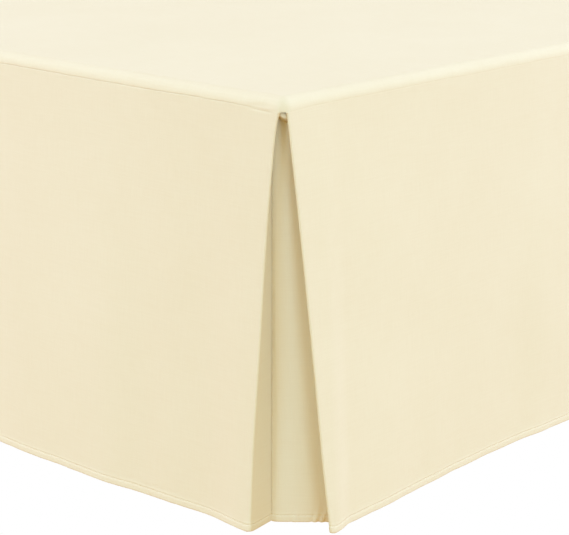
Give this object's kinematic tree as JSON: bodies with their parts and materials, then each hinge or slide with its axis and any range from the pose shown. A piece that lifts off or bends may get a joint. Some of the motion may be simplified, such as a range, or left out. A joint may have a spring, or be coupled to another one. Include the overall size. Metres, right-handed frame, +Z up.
{
  "type": "bed skirt on a bed base",
  "caption": "Plain bed skirt with straight drops and inverted corner pleats, sewn to a deck sheet that lies on a low upholstered bed base with legs.",
  "frame": {"origin": "on the floor, under the middle of the whole object", "axes": "+Z up; +Y from the foot of the bed to the open head end; +X to the right-hand side drop, seen from the foot"},
  "size_m": [1.4014, 1.9214, 0.389],
  "materials": {
    "cotton": "plain-woven cream cotton, matt",
    "upholstery": "plain stone-coloured woven cover",
    "legs": "satin lacquered beech"
  },
  "bodies": {
    "root": {"deck": "cotton", "foot_drop": "cotton", "side_drop_left": "cotton", "side_drop_right": "cotton", "pleat_insert_left": "cotton", "pleat_insert_right": "cotton", "bed_base": "upholstery", "leg_foot_left": "legs", "leg_foot_right": "legs", "leg_middle_left": "legs", "leg_middle_right": "legs", "leg_head_left": "legs", "leg_head_right": "legs"}
  },
  "joints": []
}
